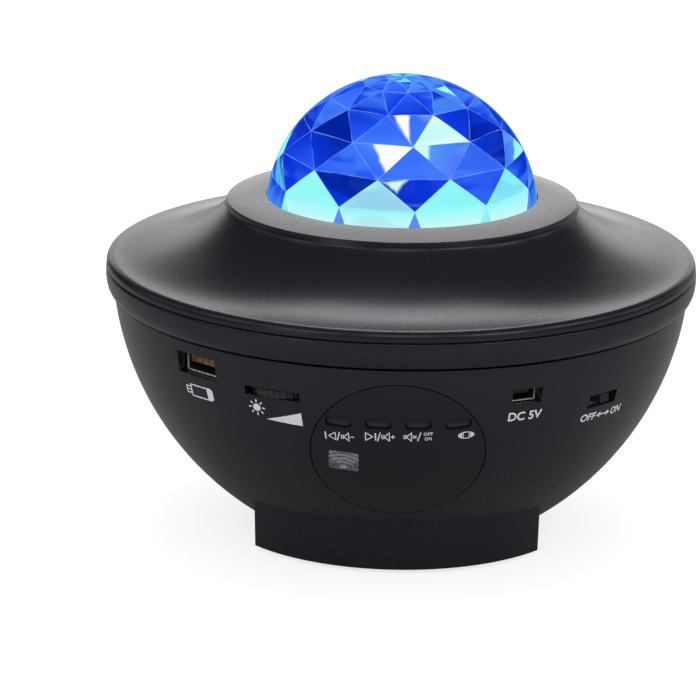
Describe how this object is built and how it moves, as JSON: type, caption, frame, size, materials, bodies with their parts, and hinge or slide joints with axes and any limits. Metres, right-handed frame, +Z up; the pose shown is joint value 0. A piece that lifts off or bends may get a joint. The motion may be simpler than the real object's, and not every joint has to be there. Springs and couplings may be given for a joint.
{
  "type": "star night light projector",
  "caption": "Bowl-shaped star night light projector with a faceted clear dome, a turning ripple lens, a control panel, sockets, a dimmer wheel and a loudspeaker.",
  "frame": {"origin": "on the table under the centre of the rubber feet, on the bowl's own axis", "axes": "+Z up, the control panel faces -Y, the USB-A socket and the dimmer wheel are towards -X, the power inlet and the switch towards +X"},
  "size_m": [0.1662, 0.1662, 0.1294],
  "materials": {
    "shell_black": "satin moulded plastic",
    "panel_black": "smooth satin-gloss moulded plastic",
    "dome_clear": "clear blue-tinted moulded plastic, polished",
    "dark_plastic": "matte",
    "steel": "plated",
    "white_plastic": "matte moulded nylon",
    "board_green": "glass-epoxy board with solder mask",
    "window_grey": "smoked",
    "capacitor_blue": "sleeved",
    "lamp_board_white": "white solder mask",
    "lamp_resin": "clear resin over phosphor",
    "bright_plastic": "vacuum-plated",
    "clear_lens": "clear polished",
    "brass": "machined",
    "rubber": "matte",
    "black_paper": "pressed paper pulp",
    "magnet_grey": "ferrite under a steel cap",
    "wire_sleeve": "soft sleeve",
    "ribbon_grey": "flat ribbon"
  },
  "bodies": {
    "housing": {"top_cover": "shell_black", "rim_band": "shell_black", "bowl_housing": "shell_black", "base_cover": "shell_black", "rubber_feet": "rubber", "base_screws": "steel", "crystal_dome": "dome_clear", "dome_retainer": "dark_plastic", "retainer_screws": "steel", "control_panel": "panel_black", "tact_switches": "dark_plastic", "key_board": "board_green", "key_board_screws": "steel", "ir_window": "window_grey", "ir_receiver": "dark_plastic", "brightness_pot": "dark_plastic", "usb_a_shell": "steel", "usb_a_tongue": "white_plastic", "dc_shell": "steel", "dc_tongue": "dark_plastic", "switch_case": "steel", "main_board": "board_green", "main_board_screws": "steel", "board_chips": "dark_plastic", "board_capacitors": "capacitor_blue", "light_chassis": "white_plastic", "chassis_screws": "steel", "lamp_board": "lamp_board_white", "lamps": "lamp_resin", "reflector_cup": "bright_plastic", "ripple_plate": "clear_lens", "bearing_washer": "white_plastic", "laser_barrel": "brass", "laser_lens": "clear_lens", "drive_motor": "steel", "motor_screws": "steel", "speaker_frame": "dark_plastic", "speaker_cone": "black_paper", "speaker_magnet": "magnet_grey", "speaker_gasket": "rubber", "speaker_screws": "steel", "speaker_leads": "wire_sleeve", "engine_leads": "wire_sleeve", "key_ribbon": "ribbon_grey"},
    "key_previous": {"key_previous": "panel_black", "plunger_previous": "white_plastic"},
    "key_next": {"key_next": "panel_black", "plunger_next": "white_plastic"},
    "key_mute": {"key_mute": "panel_black", "plunger_mute": "white_plastic"},
    "key_mode": {"key_mode": "panel_black", "plunger_mode": "white_plastic"},
    "brightness_wheel": {"brightness_wheel": "dark_plastic", "wheel_shaft": "steel", "wheel_screw": "steel"},
    "power_slider": {"power_slider": "dark_plastic"},
    "ripple_wheel": {"ripple_wheel": "clear_lens", "grating_disc": "clear_lens"},
    "motor_pinion": {"motor_pinion": "white_plastic", "motor_shaft": "steel"}
  },
  "joints": [
    {"name": "key_previous_press", "type": "slide", "parent": "housing", "child": "key_previous", "axis": [0, 0.9048, 0.4259], "range_m": [0, 0.0005], "stiffness_N_per_m": 3000},
    {"name": "key_next_press", "type": "slide", "parent": "housing", "child": "key_next", "axis": [0, 0.9048, 0.4259], "range_m": [0, 0.0005], "stiffness_N_per_m": 3000},
    {"name": "key_mute_press", "type": "slide", "parent": "housing", "child": "key_mute", "axis": [0, 0.9048, 0.4259], "range_m": [0, 0.0005], "stiffness_N_per_m": 3000},
    {"name": "key_mode_press", "type": "slide", "parent": "housing", "child": "key_mode", "axis": [0, 0.9048, 0.4259], "range_m": [0, 0.0005], "stiffness_N_per_m": 3000},
    {"name": "brightness_turn", "type": "hinge", "parent": "housing", "child": "brightness_wheel", "pos_m": [-0.03005, -0.06385, 0.0572], "axis": [0, 0, 1], "range_deg": [-135, 135]},
    {"name": "power_slide", "type": "slide", "parent": "housing", "child": "power_slider", "axis": [-0.7096, -0.7046, 0], "range_m": [0, 0.0028]},
    {"name": "ripple_spin", "type": "hinge", "parent": "housing", "child": "ripple_wheel", "pos_m": [0, 0, 0.08], "axis": [0, 0, 1], "continuous": true},
    {"name": "pinion_spin", "type": "hinge", "parent": "housing", "child": "motor_pinion", "pos_m": [0, 0.03372, 0.08], "axis": [0, 0, 1], "continuous": true}
  ],
  "couplings": [
    {"joint": "pinion_spin", "follows": "ripple_spin", "ratio": -6}
  ]
}
